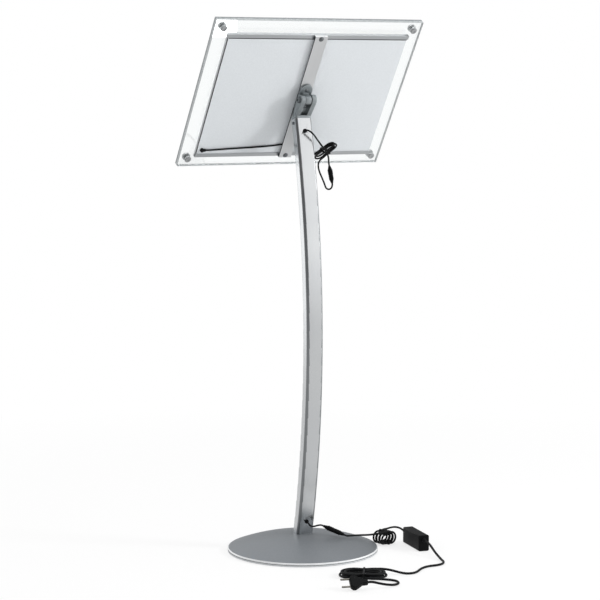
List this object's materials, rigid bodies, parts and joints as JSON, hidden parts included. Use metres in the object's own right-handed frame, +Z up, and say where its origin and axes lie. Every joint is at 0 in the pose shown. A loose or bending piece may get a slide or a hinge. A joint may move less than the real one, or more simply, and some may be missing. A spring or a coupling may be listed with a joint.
{
  "type": "menu_stand",
  "caption": "Floor-standing lit menu display: tilting edge-lit acrylic panel on a curved metal post over a round domed base, with leads, power adapter and mains plug",
  "frame": {"origin": "centre of the base, on the floor", "axes": "+Z up; the reader stands at -Y and reads the panel's front; +Y is the back, where the leads come out; +X is the reader's right"},
  "size_m": [0.5104, 0.5561, 1.1794],
  "materials": {
    "base_paint": "satin grey metallic paint",
    "iron": "black painted casting",
    "rubber": "matte",
    "post_metal": "satin anodised",
    "cast_metal": "fine cast, satin",
    "steel": "zinc plated",
    "strap_steel": "satin",
    "rail_metal": "satin anodised",
    "plate_paint": "silver-white satin paint",
    "dark_plastic": "fine grain",
    "white_film": "white film",
    "guide_acrylic": "clear, edge lit",
    "clear_acrylic": "clear, polished",
    "board": "white board with pale chips",
    "cap_metal": "satin turned",
    "cord_black": "soft black sheath",
    "case_black": "fine grained black",
    "pin_metal": "nickel plated"
  },
  "bodies": {
    "stand": {"base_cover": "base_paint", "base_weight": "iron", "base_feet": "rubber", "foot_plug": "cast_metal", "foot_bolts": "steel", "post": "post_metal", "post_grommet_upper": "rubber", "post_grommet_lower": "rubber", "post_head": "cast_metal", "head_screws": "steel", "tilt_bolt": "steel", "tilt_nut": "steel", "friction_washers": "dark_plastic", "panel_lead_slack": "cord_black", "upper_hank": "cord_black", "upper_tie": "dark_plastic", "hank_lead": "cord_black", "link_plug": "case_black", "link_socket": "case_black", "post_lead_upper": "cord_black", "post_lead_inner": "cord_black", "post_lead_lower": "cord_black", "coupling_socket": "case_black", "coupling_plug": "case_black", "dc_lead_near": "cord_black", "dc_bundle": "cord_black", "dc_tie": "dark_plastic", "dc_lead_far": "cord_black", "adapter_relief_dc": "rubber", "adapter_top": "case_black", "adapter_bottom": "case_black", "adapter_relief_mains": "rubber", "mains_lead_near": "cord_black", "mains_hank": "cord_black", "mains_tie": "dark_plastic", "mains_lead_far": "cord_black", "plug_body": "case_black", "plug_pins": "pin_metal"},
    "panel": {"tilt_knuckle": "cast_metal", "knuckle_screws": "steel", "strap": "strap_steel", "strap_screws": "steel", "rail_top": "rail_metal", "rail_bottom": "rail_metal", "side_rails": "rail_metal", "plate_gasket": "dark_plastic", "back_plate": "plate_paint", "reflector": "white_film", "light_guide": "guide_acrylic", "diffuser": "white_film", "led_strips": "board", "back_sheet": "clear_acrylic", "front_cover": "clear_acrylic", "corner_nuts": "cap_metal", "panel_grommet": "rubber", "panel_lead": "cord_black"},
    "corner_cap_1": {"corner_cap_1": "cap_metal"},
    "corner_cap_2": {"corner_cap_2": "cap_metal"},
    "corner_cap_3": {"corner_cap_3": "cap_metal"},
    "corner_cap_4": {"corner_cap_4": "cap_metal"}
  },
  "joints": [
    {"name": "panel_tilt", "type": "hinge", "parent": "stand", "child": "panel", "pos_m": [0, 0.01913, 1.00454], "axis": [-1, 0, 0], "range_deg": [-3, 36], "deforming": ["panel_lead_slack"]},
    {"name": "corner_cap_1_turn", "type": "hinge", "parent": "panel", "child": "corner_cap_1", "pos_m": [-0.23, -0.11887, 0.88472], "axis": [0, -0.829, 0.5592], "range_deg": [0, 720]},
    {"name": "corner_cap_2_turn", "type": "hinge", "parent": "panel", "child": "corner_cap_2", "pos_m": [0.23, -0.11887, 0.88472], "axis": [0, -0.829, 0.5592], "range_deg": [0, 720]},
    {"name": "corner_cap_3_turn", "type": "hinge", "parent": "panel", "child": "corner_cap_3", "pos_m": [-0.23, 0.07014, 1.16493], "axis": [0, -0.829, 0.5592], "range_deg": [0, 720]},
    {"name": "corner_cap_4_turn", "type": "hinge", "parent": "panel", "child": "corner_cap_4", "pos_m": [0.23, 0.07014, 1.16493], "axis": [0, -0.829, 0.5592], "range_deg": [0, 720]}
  ]
}
